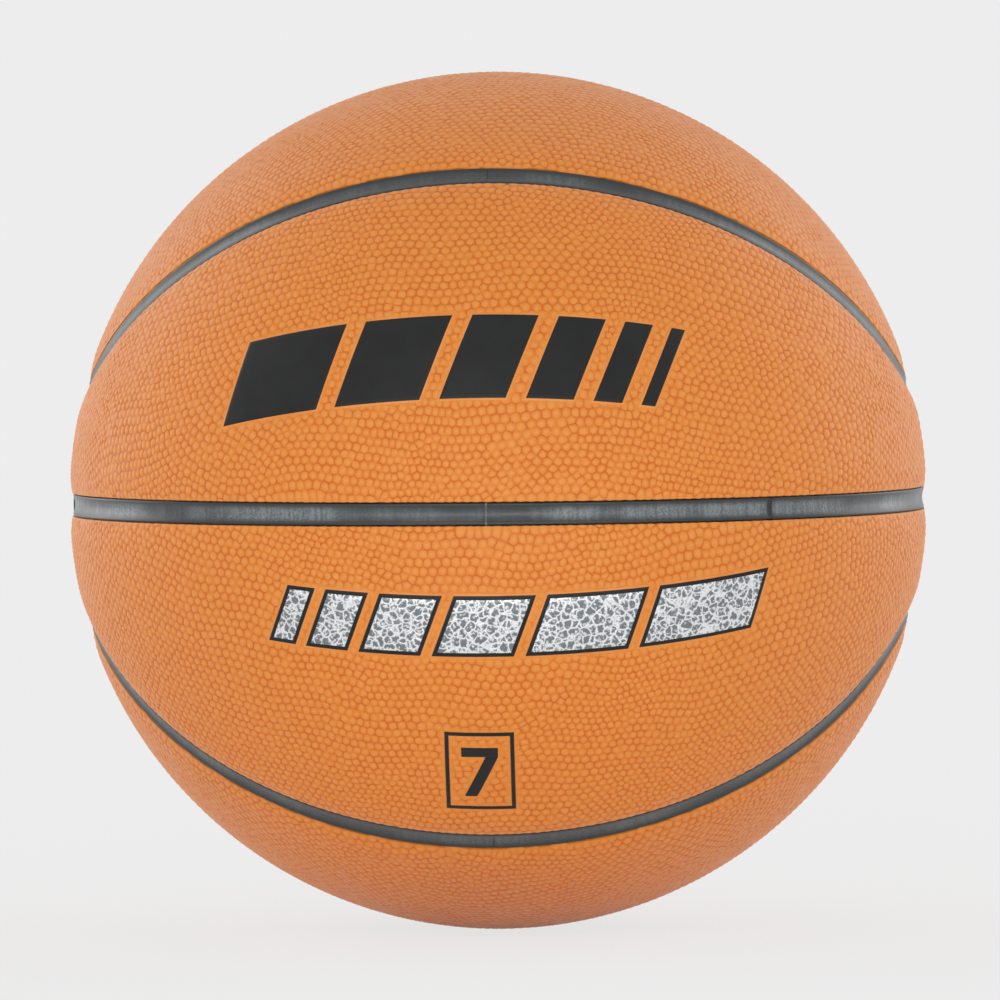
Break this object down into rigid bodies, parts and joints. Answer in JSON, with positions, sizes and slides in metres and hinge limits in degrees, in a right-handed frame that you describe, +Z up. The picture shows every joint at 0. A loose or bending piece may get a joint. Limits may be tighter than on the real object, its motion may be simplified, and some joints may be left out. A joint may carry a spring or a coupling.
{
  "type": "basketball",
  "caption": "Full-size basketball with pebbled composite-leather panels, black rubber channels, wound carcass, air bladder and a plug valve for a needle.",
  "frame": {"origin": "centre of the ball", "axes": "+Z up; the level seam lies in XY and the upright seam in XZ; the front of the picture faces -Y; the valve opens along -X, where the two seams cross"},
  "size_m": [0.2426, 0.2428, 0.2428],
  "materials": {
    "cover": "pebbled, satin",
    "channel_rubber": "smooth, satin",
    "carcass_rubber": "matte",
    "thread": "wound nylon thread",
    "bladder_rubber": "matte",
    "valve_rubber": "satin",
    "valve_core_rubber": "satin"
  },
  "bodies": {
    "ball": {"upper_front_band_panel": "cover", "upper_back_band_panel": "cover", "lower_front_band_panel": "cover", "lower_back_band_panel": "cover", "upper_front_cap_panel": "cover", "upper_back_cap_panel": "cover", "lower_front_cap_panel": "cover", "lower_back_cap_panel": "cover", "level_channel_strip": "channel_rubber", "upper_loop_channel_strip": "channel_rubber", "lower_loop_channel_strip": "channel_rubber", "upper_crown_channel_strip": "channel_rubber", "lower_crown_channel_strip": "channel_rubber", "upper_left_channel_strip": "channel_rubber", "lower_left_channel_strip": "channel_rubber", "upper_right_channel_strip": "channel_rubber", "lower_right_channel_strip": "channel_rubber", "carcass": "carcass_rubber", "thread_winding": "thread", "bladder": "bladder_rubber", "valve_housing": "valve_rubber"},
    "valve_core": {"valve_core": "valve_core_rubber"}
  },
  "joints": [
    {"name": "valve_core_slide", "type": "slide", "parent": "ball", "child": "valve_core", "axis": [-1, 0, 0], "range_m": [0, 0.02]}
  ]
}
